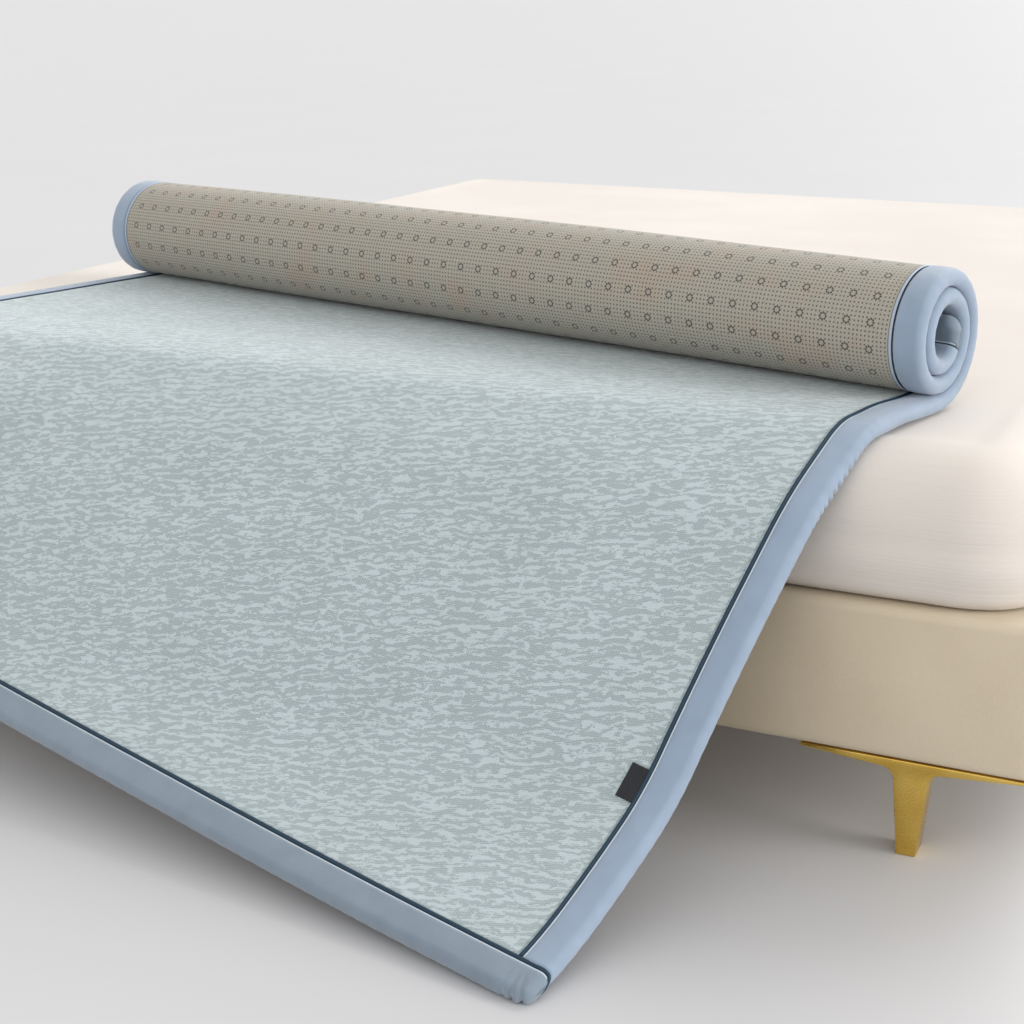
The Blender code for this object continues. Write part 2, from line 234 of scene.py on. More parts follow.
def soft_block(name, low, high, plan_round, top_round, low_round, bulge, count, side_steps, material,
               lift=None):
    """Block with a round plan and round edges, its sides bulging, its top in closing rings."""
    middle = (low + high) / 2
    half = (high - low) / 2
    rings = []

    def ring(inset, level, out):
        corner = max(plan_round - inset, 0.004)
        spots = rounded_ring(half.x - inset + out, half.y - inset + out, corner, count)
        height = np.full((count, 1), level)
        placed = np.hstack([spots + np.array([middle.x, middle.y]), height])
        rings.append(placed if lift is None else lift(placed, inset))

    floor_steps = (0.9, 0.6, 0.3, 0.12)
    for share in floor_steps:
        ring(low_round + share * (min(half.x, half.y) - low_round), low.z, 0.0)
    for turn in np.linspace(0.0, math.pi / 2, 6):
        ring(low_round * (1 - math.sin(turn)), low.z + low_round * (1 - math.cos(turn)), 0.0)
    tall = high.z - top_round - low.z - low_round
    for step in range(1, side_steps):
        share = step / side_steps
        ring(0.0, low.z + low_round + share * tall, bulge * math.sin(math.pi * share))
    for turn in np.linspace(0.0, math.pi / 2, 14):
        ring(top_round * (1 - math.cos(turn)), high.z - top_round * (1 - math.sin(turn)), 0.0)
    closing = (0.01, 0.025, 0.045, 0.07, 0.1, 0.14, 0.19, 0.25, 0.32, 0.4, 0.5, 0.6, 0.7, 0.8, 0.9, 0.97)
    for share in closing:
        ring(top_round + share * (min(half.x, half.y) - top_round - 0.004), high.z, 0.0)
    return stacked(name, rings, material)


base_cover = soft_block("bed_base_cover", bed_low, bed_high, BASE_CORNER, BASE_EDGE, BASE_EDGE,
                        BASE_BULGE, 360, 10, upholstery())
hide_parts("bed_base")
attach(base_cover, "root")


# Legs: blades of gold metal, each a plate that tapers to both sides under the base, with a post
# that narrows to the floor. Cut from one thick plate, satin finished, with eased edges.

PLATE_HALF = 0.134
PLATE_TIP = 0.0036
PLATE_ROOT = 0.011
POST_HALF_TOP = 0.020
POST_HALF_FOOT = 0.0115
LEG_FILLET = 0.016
LEG_EASE = 0.0012


def brass():
    material, tree, shader = new_material("satin_gold", 0.28, metallic=1.0)
    place = object_place(tree)
    stretched = add(tree, "ShaderNodeMapping", {"Vector": place, "Scale": (30.0, 900.0, 900.0)}).outputs[0]
    brushed = noise(tree, stretched, 1.0, 2.0)
    cloud = noise(tree, place, 14.0, 2.0)
    colour = mix_colour(tree, ramp(tree, cloud, 0.3, 0.7), srgb(206, 168, 76), srgb(224, 190, 102))
    tree.links.new(colour, shader.inputs["Base Color"])
    tree.links.new(ramp(tree, brushed, 0.25, 0.75, 0.2, 0.36), shader.inputs["Roughness"])
    bump(tree, shader, brushed, 0.00004)
    return material


gold = brass()


def leg_blade(node):
    """Blade in the node's own box: half an outline, mirrored, then pushed through its depth."""
    low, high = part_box(node)
    drop = high.z - low.z
    half = [(PLATE_HALF, 0.0), (PLATE_HALF, -PLATE_TIP)]
    centre_x, centre_z = POST_HALF_TOP + LEG_FILLET, -PLATE_ROOT - LEG_FILLET
    for step in range(9):
        turn = math.pi / 2 * (1 - step / 8)
        half.append((centre_x - LEG_FILLET * math.cos(turn), centre_z + LEG_FILLET * math.sin(turn)))
    half.append((POST_HALF_FOOT, -drop))
    outline = half + [(-x, z) for x, z in reversed(half)]
    bm = bmesh.new()
    corners = [bm.verts.new(((low.x + high.x) / 2 + x, low.y, high.z + z)) for x, z in outline]
    face = bm.faces.new(corners)
    pushed = bmesh.ops.extrude_face_region(bm, geom=[face])
    moved = [item for item in pushed["geom"] if isinstance(item, bmesh.types.BMVert)]
    bmesh.ops.translate(bm, vec=(0, high.y - low.y, 0), verts=moved)
    bmesh.ops.recalc_face_normals(bm, faces=bm.faces)
    bmesh.ops.bevel(bm, geom=bm.edges[:], offset=LEG_EASE, segments=2, affect="EDGES", profile=0.5)
    mesh = bpy.data.meshes.new("gold_" + node)
    bm.to_mesh(mesh)
    bm.free()
    mesh.shade_smooth()
    mesh.set_sharp_from_angle(angle=math.radians(40))
    mesh.materials.append(gold)
    leg = bpy.data.objects.new("gold_" + node, mesh)
    bpy.context.scene.collection.objects.link(leg)
    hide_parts(node)
    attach(leg, "root")


for leg_node in ("leg_front_right", "leg_front_left", "leg_back_right", "leg_back_left"):
    leg_blade(leg_node)


# Mattress in its white fitted sheet: soft round edges all over, the cloth drawn smooth over the
# top and gathered a little down the sides by the elastic underneath.

MATTRESS_CORNER = 0.118
MATTRESS_TOP_ROUND = 0.100
MATTRESS_LOW_ROUND = 0.025
MATTRESS_BULGE = 0.004
TOP_SWELL = 0.0008

def white_sheet():
    material, tree, shader = new_material("white_sheet", 0.85, sheen=0.2)
    place = object_place(tree)
    drawn = stretch(tree, place, (5.0, 5.0, 300.0))
    ribs = noise(tree, drawn, 1.0, 2.0)
    weave = noise(tree, place, 1400.0, 1.0)
    cloud = noise(tree, place, 3.0, 2.0)
    colour = mix_colour(tree, ramp(tree, cloud, 0.3, 0.7), srgb(216, 208, 200), srgb(222, 215, 207))
    tree.links.new(colour, shader.inputs["Base Color"])
    bump(tree, shader, calc(tree, "MULTIPLY_ADD", ribs, 2.0, weave), 0.0003)
    return material


def sheet_folds(points, inset):
    """Gathers down the mattress's sides, stronger towards its lower edge and its corners."""
    middle = (mattress_low + mattress_high) / 2
    half = (mattress_high - mattress_low) / 2
    out = points[:, :2] - np.array([middle.x, middle.y])
    share = np.clip((mattress_high.z - 0.04 - points[:, 2]) / (half.z * 2 - 0.04), 0.0, 1.0)
    along = np.arctan2(out[:, 1] / half.y, out[:, 0] / half.x) * 30.0
    corner = np.clip(np.minimum(abs(out[:, 0]) / half.x, abs(out[:, 1]) / half.y) - 0.86, 0.0, 0.14) / 0.14
    wave = 0.5 * np.sin(along) + 0.3 * np.sin(along * 2.3 + 1.0) + 0.2 * np.sin(along * 4.7 + 2.0)
    amount = share * share * (0.0008 + 0.0022 * corner) * wave
    length = np.maximum(np.linalg.norm(out, axis=1), 1e-6)
    moved = points.copy()
    moved[:, :2] += out / length[:, None] * amount[:, None]
    if inset > MATTRESS_TOP_ROUND:
        swell = np.sin(out[:, 0] * 9.0 + 1.3 * np.sin(out[:, 1] * 5.0)) * np.sin(out[:, 1] * 7.0)
        moved[:, 2] += TOP_SWELL * (swell - 1)
    return moved


mattress_cover = soft_block("mattress_in_sheet", mattress_low, mattress_high, MATTRESS_CORNER,
                            MATTRESS_TOP_ROUND, MATTRESS_LOW_ROUND, MATTRESS_BULGE, 720, 14,
                            white_sheet(), sheet_folds)
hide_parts("mattress")
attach(mattress_cover, "root")


# Quilted top of the mat: a two-tone jacquard over a thin filling, as wide as the mat between its
# bindings. It is drawn flat (u across from the right edge, v from the front edge, n up through the
# thickness), then laid on the bed, folded over its edge and wound into the roll at the far end.

WIDTH = 1.500
THICK = 0.0204
FELT = 0.0018
SEAM = 0.0400
VALLEY = 0.0051
GAP = 0.0003
TURNED = 0.2384
CORNER_X = bed_high.x - 0.4224
CORNER_Y = bed_low.y - 0.6856
FOLD_Y = bed_low.y + 0.0979
LYING_GAP = 0.0016
FLOOR_CLEAR = 0.001
FOLD = [
    {"down": 0.00, "slope": 0.0},
    {"down": 0.05, "slope": 33.7},
    {"down": 0.11, "slope": 36.2},
    {"down": 0.19, "slope": 50.9},
    {"down": 0.28, "slope": 52.3},
    {"down": 0.37, "slope": 55.7},
    {"down": 0.46, "slope": 58.6},
    {"down": 0.55, "slope": 34.6},
    {"down": 0.66, "slope": 28.5},
    {"down": 0.82, "slope": 5.6},
]
SLACK_RISE = 0.0026
SLACK_AT = 0.058
SLACK_WIDE = 0.042
ROLL_START = 0.962
ROLL_RADIUS = 0.0702
ROLL_SWELL = 0.030
TURN_PITCH = 0.0234
TURNS = 2.36
ROLL_FIRST = ROLL_RADIUS + TURN_PITCH - THICK / 2
TIGHTER = TURN_PITCH / (2 * math.pi)
LENGTH = ROLL_START + ROLL_FIRST * 2 * math.pi * TURNS - TIGHTER * (2 * math.pi * TURNS) ** 2 / 2
ROW_PITCH = 0.0040
TOP_COLUMNS = 140
FIGURE_TURN = math.radians(23.5)
FIGURE_PITCH = 0.0115
THREAD_PITCH = 0.0031

fold_down = np.linspace(0.0, 0.82, 1641)
fold_slope = np.radians(np.interp(fold_down, [row["down"] for row in FOLD], [row["slope"] for row in FOLD]))
fold_step = fold_down[1] - fold_down[0]
fold_run = np.concatenate([[0.0], np.cumsum(np.cos((fold_slope[1:] + fold_slope[:-1]) / 2)) * fold_step])
fold_drop = np.concatenate([[0.0], np.cumsum(np.sin((fold_slope[1:] + fold_slope[:-1]) / 2)) * fold_step])


def soft_step(value, low, high):
    share = np.clip((value - low) / (high - low), 0.0, 1.0)
    return share * share * (3 - 2 * share)


def corner_pull(u, v, n):
    """How far the seam at each front corner is pulled forward as it goes round the edge."""
    side = np.minimum(u, WIDTH - u)
    near = soft_step(v, 0.0, SEAM) * (1 - soft_step(v, SEAM, 0.11))
    return 0.020 * near * (1 - soft_step(side, 0.006, 0.030)) * (1 - soft_step(n, -0.004, 0.017))


def uneven(u, v):
    """The small hollows and rises of a filled mat that has been handled."""
    wide = np.sin(9.0 * u + 5.0 * v + 0.4) * np.sin(7.0 * v - 3.0 * u + 1.7)
    small = np.sin(31.0 * u + 11.0 * v + 2.0) * np.sin(27.0 * v - 9.0 * u)
    return 0.0005 * wide + 0.0002 * small


def roll_turn(along):
    """Angle wound up after a length of the mat has gone into the roll."""
    return (ROLL_FIRST - np.sqrt(np.maximum(ROLL_FIRST ** 2 - 2 * TIGHTER * along, 0.0))) / TIGHTER


def place(u, v, n):
    """Points of the mat in the room from their places in the flat mat."""
    u, v, n = np.broadcast_arrays(*(np.asarray(item, float) for item in (u, v, n)))
    v = v - corner_pull(u, v, n)
    n = n + uneven(u, v)
    sin_a, cos_a = math.sin(TURNED), math.cos(TURNED)
    flat_v = np.minimum(v, ROLL_START)
    x = CORNER_X - u * cos_a + flat_v * sin_a
    y = CORNER_Y + u * sin_a + flat_v * cos_a
    down = np.maximum(FOLD_Y - y, 0.0)
    slope = np.interp(down, fold_down, fold_slope)
    under = THICK - n
    top = mattress_high.z + LYING_GAP + THICK
    lying_y = np.maximum(y, FOLD_Y) - np.interp(down, fold_down, fold_run) + under * np.sin(slope)
    slack = SLACK_RISE * np.exp(-((y - FOLD_Y - SLACK_AT) / SLACK_WIDE) ** 2)
    lying_z = top + slack - np.interp(down, fold_down, fold_drop) - under * np.cos(slope)
    lying_z = np.maximum(lying_z, FLOOR_CLEAR)
    along = np.maximum(v - ROLL_START, 0.0)
    angle = roll_turn(along)
    radius = ROLL_RADIUS * (1 + ROLL_SWELL * (1 - (2 * u / WIDTH - 1) ** 2)) + TURN_PITCH
    here = radius - TIGHTER * angle - n
    rolled = v > ROLL_START
    out = np.empty(u.shape + (3,))
    out[..., 0] = x + np.where(rolled, sin_a * here * np.sin(angle), 0.0)
    out[..., 1] = np.where(rolled, y + cos_a * here * np.sin(angle), lying_y)
    out[..., 2] = np.where(rolled, mattress_high.z + LYING_GAP + radius - here * np.cos(angle), lying_z)
    return out


def seam_depth(distance):
    """How far a panel's face sinks at a distance from its seam: a quarter round."""
    share = np.clip(1 - distance / VALLEY, 0.0, 1.0)
    return VALLEY * (1 - np.sqrt(1 - share * share))


def seam_steps(low, high, pitch):
    """Places from one seam to the other, close together on the round next to each seam."""
    turn = np.linspace(0.0, math.pi / 2, 7)[:-1]
    near = VALLEY * (1 - np.cos(turn))
    count = int(round((high - low - 2 * VALLEY) / pitch))
    middle = np.linspace(low + VALLEY, high - VALLEY, count + 1)
    return np.concatenate([low + near, middle, (high - near)[::-1]])


def lofted(name, rings, flat, material):
    """Closed body through a row of closed sections; flat has one more column than the sections."""
    rows, around = rings.shape[:2]
    index = np.arange(rows * around).reshape(rows, around)
    here, there = index[:-1], index[1:]
    quads = np.stack([here, np.roll(here, -1, 1), np.roll(there, -1, 1), there], axis=-1).reshape(-1, 4)
    corner = np.stack([flat[:-1, :-1], flat[:-1, 1:], flat[1:, 1:], flat[1:, :-1]], axis=2).reshape(-1, 2)
    faces = [tuple(q) for q in quads.tolist()]
    faces.append(tuple(reversed(index[0].tolist())))
    faces.append(tuple(index[-1].tolist()))
    uvs = np.concatenate([corner, flat[0, :-1][::-1], flat[-1, :-1]])
    return finish_mesh(name, rings.reshape(-1, 3), faces, material, uvs)


def flat_map(u, v):
    """Flat places for the corners of a body lofted through its sections in reverse."""
    flat = np.stack(np.broadcast_arrays(u, v), axis=-1)
    return np.concatenate([flat[:, :1], flat[:, 1:][:, ::-1], flat[:, :1]], axis=1)


def jacquard():
    """Two-tone weave: small wavy figures, all lying the same way, in steps as fine as its threads."""
    material, tree, shader = new_material("aqua_jacquard", 0.75, sheen=0.3)
    flat = add(tree, "ShaderNodeUVMap", uv_map="flat").outputs[0]
    threads = (0.0011, 0.0009, 1.0)
    steps = add(tree, "ShaderNodeVectorMath", {0: flat, 1: threads}, operation="SNAP").outputs[0]
    turned = add(tree, "ShaderNodeVectorRotate", {"Vector": steps, "Angle": FIGURE_TURN},
                 rotation_type="Z_AXIS")
    laid = turned.outputs[0]
    figure = noise(tree, stretch(tree, laid, (64.0, 205.0, 0.0)), 1.0, 3.0, 0.6, 1.0)
    patches = noise(tree, stretch(tree, laid, (24.0, 40.0, 0.0)), 1.0, 1.0)
    sway = noise(tree, stretch(tree, laid, (30.0, 46.0, 0.0)), 1.0, 2.0, 0.5, 0.4)
    across = add(tree, "ShaderNodeSeparateXYZ", {0: laid}).outputs[1]
    rows = calc(tree, "MULTIPLY_ADD", across, 2 * math.pi / FIGURE_PITCH, calc(tree, "MULTIPLY", sway, 16.0))
    wave = calc(tree, "MULTIPLY_ADD", calc(tree, "SINE", rows), 0.07, figure)
    level = calc(tree, "MULTIPLY_ADD", calc(tree, "SUBTRACT", patches, 0.5), 0.12, wave)
    raised = ramp(tree, level, 0.46, 0.54)
    away = calc(tree, "ABSOLUTE", calc(tree, "SUBTRACT", level, 0.54))
    outline = ramp(tree, away, 0.022, 0.004)
    apart = add(tree, "ShaderNodeSeparateXYZ", {0: flat})
    slant = calc(tree, "MULTIPLY_ADD", apart.outputs[0], 0.6, apart.outputs[1])
    twill = calc(tree, "SINE", calc(tree, "MULTIPLY", slant, 2 * math.pi / THREAD_PITCH))
    picks = calc(tree, "SINE", calc(tree, "MULTIPLY", apart.outputs[0], 2 * math.pi / THREAD_PITCH))
    weave = calc(tree, "MULTIPLY_ADD", picks, 0.7, twill)
    hatch = calc(tree, "MULTIPLY", weave, calc(tree, "MULTIPLY_ADD", raised, -0.14, 0.36))
    fine = calc(tree, "ADD", calc(tree, "MULTIPLY_ADD", outline, 0.22, raised), hatch)
    cloud = noise(tree, flat, 7.0, 2.0)
    dark = mix_colour(tree, ramp(tree, cloud, 0.3, 0.7), srgb(156, 170, 172), srgb(161, 174, 177))
    light = mix_colour(tree, ramp(tree, cloud, 0.3, 0.7), srgb(188, 202, 205), srgb(193, 206, 210))
    colour = mix_colour(tree, fine, dark, light)
    tree.links.new(colour, shader.inputs["Base Color"])
    bump(tree, shader, fine, 0.0003)
    return material


def quilted_top():
    across = seam_steps(SEAM + GAP, WIDTH - SEAM - GAP, (WIDTH - 2 * SEAM) / TOP_COLUMNS)
    along = seam_steps(SEAM + GAP, LENGTH - SEAM - GAP, ROW_PITCH)
    below = across[::5][::-1]
    u = np.concatenate([across, below])[None, :]
    v = along[:, None]
    side = np.minimum(u - SEAM - GAP, WIDTH - SEAM - GAP - u)
    end = np.minimum(v - SEAM - GAP, LENGTH - SEAM - GAP - v)
    sunk = np.maximum(seam_depth(side), seam_depth(end))
    high = THICK - sunk
    low = np.maximum(FELT + GAP, sunk)
    upper = np.arange(u.shape[1])[None, :] < len(across)
    n = np.where(upper, high, np.minimum(low, high - 0.001))
    top = lofted("quilted_jacquard_top", place(u, v, n)[:, ::-1], flat_map(u, v), jacquard())
    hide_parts("mat_top")
    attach(top, "root")


quilted_top()


# Backing: a warm grey felt, printed all over with small rubber dots, six to the pitch, and with
# rings of eight dots, so that the mat doesn't slip. It faces out on the roll.

RING_PITCH_U = 0.0325
RING_PITCH_V = 0.0332
RING_U = 0.0678
RING_V = ROLL_START + 0.3790
RING_RADIUS = 0.0041
DOT_RADIUS = 0.00095
DOTS_PER_PITCH = 6
FELT_INSET = 0.0020
FELT_COLUMN = 0.024


def sheet_of(name, points, flat, thick, material):
    """Thin cloth from a grid of points on its outer face, thickened inwards."""
    rows, columns = points.shape[:2]
    index = np.arange(rows * columns).reshape(rows, columns)
    quads = np.stack([index[:-1, :-1], index[:-1, 1:], index[1:, 1:], index[1:, :-1]], axis=-1).reshape(-1, 4)
    corner = np.stack([flat[:-1, :-1], flat[:-1, 1:], flat[1:, 1:], flat[1:, :-1]], axis=2).reshape(-1, 2)
    item = finish_mesh(name, points.reshape(-1, 3), [tuple(q) for q in quads.tolist()], material, corner)
    solid = item.modifiers.new("thickness", "SOLIDIFY")
    solid.thickness = thick
    solid.offset = -1.0
    return item


def dotted_felt():
    material, tree, shader = new_material("dotted_felt", 0.95, sheen=0.2)
    flat = add(tree, "ShaderNodeUVMap", uv_map="flat").outputs[0]
    apart = add(tree, "ShaderNodeSeparateXYZ", {0: flat})
    u = calc(tree, "DIVIDE", calc(tree, "SUBTRACT", apart.outputs[0], RING_U), RING_PITCH_U)
    v = calc(tree, "DIVIDE", calc(tree, "SUBTRACT", apart.outputs[1], RING_V), RING_PITCH_V)

    def from_cell(value, repeats, pitch):
        """Distance, in metres, from the middle of the nearest cell."""
        share = calc(tree, "FRACT", calc(tree, "MULTIPLY_ADD", value, repeats, 0.5))
        return calc(tree, "MULTIPLY", calc(tree, "SUBTRACT", share, 0.5), pitch / repeats)

    def length(first, second):
        return calc(tree, "SQRT", calc(tree, "ADD", calc(tree, "MULTIPLY", first, first),
                                       calc(tree, "MULTIPLY", second, second)))

    ring_u, ring_v = from_cell(u, 1, RING_PITCH_U), from_cell(v, 1, RING_PITCH_V)
    reach = length(ring_u, ring_v)
    turn = calc(tree, "DIVIDE", calc(tree, "ARCTAN2", ring_v, ring_u), 2 * math.pi)
    round_it = from_cell(turn, 8, 2 * math.pi * RING_RADIUS)
    ring_dot = length(calc(tree, "SUBTRACT", reach, RING_RADIUS), round_it)
    ring_mask = ramp(tree, ring_dot, DOT_RADIUS * 1.65, DOT_RADIUS * 1.25)
    small_dot = length(from_cell(u, DOTS_PER_PITCH, RING_PITCH_U), from_cell(v, DOTS_PER_PITCH, RING_PITCH_V))
    small_mask = ramp(tree, small_dot, DOT_RADIUS * 1.4, DOT_RADIUS * 0.9)
    outside = ramp(tree, reach, RING_RADIUS * 1.4, RING_RADIUS * 1.55)
    small_mask = calc(tree, "MULTIPLY", small_mask, outside)
    fuzz = noise(tree, object_place(tree), 900.0, 3.0, 0.7)
    blotch = noise(tree, flat, 14.0, 2.0)
    grey = mix_colour(tree, ramp(tree, fuzz, 0.3, 0.7), srgb(154, 149, 137), srgb(180, 175, 162))
    warm = mix_colour(tree, ramp(tree, blotch, 0.5, 0.72, 0.0, 0.5), grey, srgb(176, 154, 138))
    dotted = mix_colour(tree, calc(tree, "MULTIPLY", small_mask, 0.9), warm, srgb(80, 78, 68))
    ringed = mix_colour(tree, calc(tree, "MULTIPLY", ring_mask, 0.9), dotted, srgb(44, 46, 42))
    tree.links.new(ringed, shader.inputs["Base Color"])
    dots = calc(tree, "MAXIMUM", ring_mask, small_mask)
    tree.links.new(ramp(tree, dots, 0.0, 1.0, 0.95, 0.55), shader.inputs["Roughness"])
    bump(tree, shader, calc(tree, "MULTIPLY_ADD", fuzz, 0.5, dots), 0.0005)
    return material


def backing():
    across = seam_steps(SEAM + FELT_INSET, WIDTH - SEAM - FELT_INSET, FELT_COLUMN)
    along = seam_steps(SEAM + FELT_INSET, LENGTH - SEAM - FELT_INSET, ROW_PITCH)
    u, v = across[None, :], along[:, None]
    side = np.minimum(u - SEAM, WIDTH - SEAM - u)
    end = np.minimum(v - SEAM, LENGTH - SEAM - v)
    n = 0.6 * np.maximum(seam_depth(side), seam_depth(end))
    outside = v + THICK / 2 * roll_turn(np.maximum(v - ROLL_START, 0.0))
    flat = np.stack(np.broadcast_arrays(u, outside), axis=-1)
    felt = sheet_of("backing_felt", place(u, v, n), flat, FELT - GAP, dotted_felt())
    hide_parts("mat_backing")
    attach(felt, "root")


backing()


# Edge bindings: strips of smooth blue satin-faced cloth, 40 mm wide on both faces, drawn over
# the padded edge. The front and far ones run the mat's whole width and close in puffy corners.

BINDING_CLOTH = 0.0010
BINDING_RIM = 0.0034
BINDING_CROWN = 0.0005
BINDING_INSET = 0.0012
CORNER_ROUND = 0.018
SATIN_THREAD = 0.0006
RIPPLE = 0.00018
GATHER_AT = 0.69
GATHER_REACH = 0.055
GATHER_PITCH = 0.0115
GATHER_DEPTH = 0.0034
CREASE_WIDTH = 0.0028
CREASES = ({"at": 0.010, "lean": 0.35, "deep": 0.0036},
           {"at": 0.021, "lean": 0.22, "deep": 0.0028},
           {"at": 0.033, "lean": 0.12, "deep": 0.0018})


def blue_cloth(name, dark, light):
    """Satin-faced cloth, mottled between a dark and a light tone."""
    material, tree, shader = new_material(name, 0.45, sheen=0.5)
    flat = add(tree, "ShaderNodeUVMap", uv_map="flat").outputs[0]
    apart = add(tree, "ShaderNodeSeparateXYZ", {0: flat})
    warp = calc(tree, "SINE", calc(tree, "MULTIPLY", apart.outputs[0], 2 * math.pi / SATIN_THREAD))
    weft = calc(tree, "SINE", calc(tree, "MULTIPLY", apart.outputs[1], 2 * math.pi / SATIN_THREAD))
    weave = calc(tree, "MULTIPLY", warp, weft)
    cloud = noise(tree, flat, 24.0, 3.0)
    colour = mix_colour(tree, ramp(tree, cloud, 0.3, 0.7), srgb(*dark), srgb(*light))
    tree.links.new(colour, shader.inputs["Base Color"])
    tree.links.new(ramp(tree, cloud, 0.3, 0.7, 0.46, 0.58), shader.inputs["Roughness"])
    bump(tree, shader, calc(tree, "MULTIPLY_ADD", weave, 0.25, cloud), 0.0003)
    return material


side_cloth = blue_cloth("blue_binding", (143, 162, 184), (150, 169, 192))
# The cross bindings take a darker copy of the same cloth: painted shade for the front binding, which faces
# forward and down, away from the light.
shaded_cross_cloth = blue_cloth("blue_binding_painted_shade", (121, 138, 154), (129, 146, 162))


def binding_section():
    """Section of a binding as reach from the outer edge and height: top seam, edge, back seam."""
    turn = np.linspace(0.0, math.pi / 2, 7)
    start = SEAM - BINDING_RIM
    reach = start - VALLEY * (1 - np.cos(turn))
    height = THICK - VALLEY * (1 - np.sin(turn))
    flat_reach = np.linspace(reach[-1], THICK / 2, 9)[1:-1]
    crown = BINDING_CROWN * np.sin(np.linspace(0.0, math.pi, 9))[1:-1]
    edge = np.radians(np.linspace(90, 0, 11))
    reach_round = THICK / 2 - THICK / 2 * np.cos(edge)
    top_reach = np.concatenate([reach, flat_reach, reach_round])
    top_height = np.concatenate([height, THICK + crown, THICK / 2 + THICK / 2 * np.sin(edge)])
    return (np.concatenate([top_reach, top_reach[::-1][1:]]),
            np.concatenate([top_height, (THICK - top_height)[::-1][1:]]))


section_reach, section_height = binding_section()
section_length = np.concatenate([[0.0], np.cumsum(np.hypot(np.diff(section_reach), np.diff(section_height)))])


def puckers(v, reach, height):
    """Gathers across a side binding: fine all along, and deeper where it bends over the mattress."""
    outer = np.clip(1 - reach / 0.022, 0.0, 1.0)
    bend = np.exp(-((v - GATHER_AT) / GATHER_REACH) ** 2)
    low = soft_step(THICK - height, 0.004, 0.016)
    fine = RIPPLE * np.sin(2 * math.pi * v / 0.019 + 2.2 * np.sin(v * 23.0))
    waves = np.sin(2 * math.pi * v / GATHER_PITCH + 1.5 * np.sin(v * 40.0))
    deep = GATHER_DEPTH * bend * low * np.maximum(waves, -0.4)
    return outer * (fine + deep)


def side_binding(name, node, mirrored):
    """Binding down one side between the cross seams, its rows closest where it is gathered."""
    low, high = SEAM + BINDING_INSET, LENGTH - SEAM - BINDING_INSET
    v = np.concatenate([np.linspace(low, 0.58, 110), np.linspace(0.58, 0.80, 150)[1:],
                        np.linspace(0.80, high, 200)[1:]])[:, None]
    shift = puckers(v, section_reach[None, :], section_height[None, :])
    reach = section_reach[None, :] + shift
    height = THICK / 2 + (section_height[None, :] - THICK / 2) * (1 - shift / (THICK / 2))
    u = WIDTH - reach if mirrored else reach
    points = place(u, v, height)
    flat = np.stack(np.broadcast_arrays(section_length[None, :], v), axis=-1)
    if not mirrored:
        points, flat = points[:, ::-1], flat[:, ::-1]
    strip = sheet_of(name, points, flat, BINDING_CLOTH, side_cloth)
    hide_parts(node)
    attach(strip, "root")


side_binding("right_binding_cloth", "binding_right", False)
side_binding("left_binding_cloth", "binding_left", True)


def corner_creases(u, reach, height):
    """Folds pinched into the front binding where its corner is turned."""
    side = np.minimum(u, WIDTH - u)
    total = np.zeros(np.broadcast_shapes(u.shape, reach.shape))
    low = 0.35 + 0.65 * soft_step(THICK - height, 0.002, 0.014)
    for crease in CREASES:
        away = side - crease["at"] - crease["lean"] * reach
        total = total + crease["deep"] * np.exp(-(away / CREASE_WIDTH) ** 2)
    return total * low * (1 - soft_step(reach, 0.016, 0.034))


def cross_binding(name, node, v_edge, toward):
    """Binding over the whole width, its ends drawn in to round, puffy corners."""
    half = THICK / 2
    close = np.radians(np.linspace(4, 90, 13))
    ends = half * (1 - np.cos(close))
    near = np.linspace(half + 0.0015, 0.07, 48)
    middle = np.concatenate([near, np.linspace(0.07, WIDTH - 0.07, 220)[1:-1], (WIDTH - near)[::-1]])
    u = np.concatenate([ends, middle, (WIDTH - ends)[::-1]])[:, None]
    tall = np.concatenate([np.sin(close), np.ones(len(middle)), np.sin(close)[::-1]])[:, None]
    side = np.minimum(u, WIDTH - u)
    inward = np.clip(CORNER_ROUND - side, 0.0, CORNER_ROUND)
    cut = CORNER_ROUND - np.sqrt(np.maximum(CORNER_ROUND ** 2 - inward ** 2, 0.0))
    share = np.clip((SEAM - VALLEY - section_reach) / (SEAM - VALLEY), 0.0, 1.0)[None, :]
    pinch = corner_creases(u, section_reach[None, :], section_height[None, :]) if toward > 0 else 0.0
    ripple = RIPPLE * np.sin(2 * math.pi * u / 0.021 + 2.0 * np.sin(u * 19.0)) * share
    depth = section_reach[None, :] + cut * share + ripple + pinch
    height = half + (section_height[None, :] - half) * tall * (1 - (ripple + pinch) / half)
    points = place(u, v_edge + toward * depth, height)
    flat = np.stack(np.broadcast_arrays(section_length[None, :], u), axis=-1)
    if toward < 0:
        points, flat = points[:, ::-1], flat[:, ::-1]
    # The darker cloth here is painted shade.
    strip = sheet_of(name, points, flat, BINDING_CLOTH, shaded_cross_cloth)
    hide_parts(node)
    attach(strip, "root")


cross_binding("front_binding_cloth", "binding_front", 0.0, 1)
cross_binding("far_binding_cloth", "binding_far", LENGTH, -1)


# Piping: a teal satin cord sewn into every seam, with a thin pale cord beside it against the
# binding: painted highlight for the light along the satin. On the backing only a pale band of it
# shows between two dark lines; that band is painted highlight too.

PIPING_RADIUS = 0.0024
PIPING_LEVEL = 0.0008
PIPING_SHIFT = 0.0004
# Thin pale cord beside the piping: painted highlight along the satin.
HIGHLIGHT_CORD_HALF = 0.0009
HIGHLIGHT_CORD_SHIFT = 0.0033
HIGHLIGHT_CORD_LEVEL = 0.0010
BACK_RADIUS = 0.0022
BACK_LEVEL = 0.0014
FAR_RADIUS = 0.0018
TWIST_PITCH = 0.0011
TWIST_SLANT = 0.004
CORD_END = 0.0026


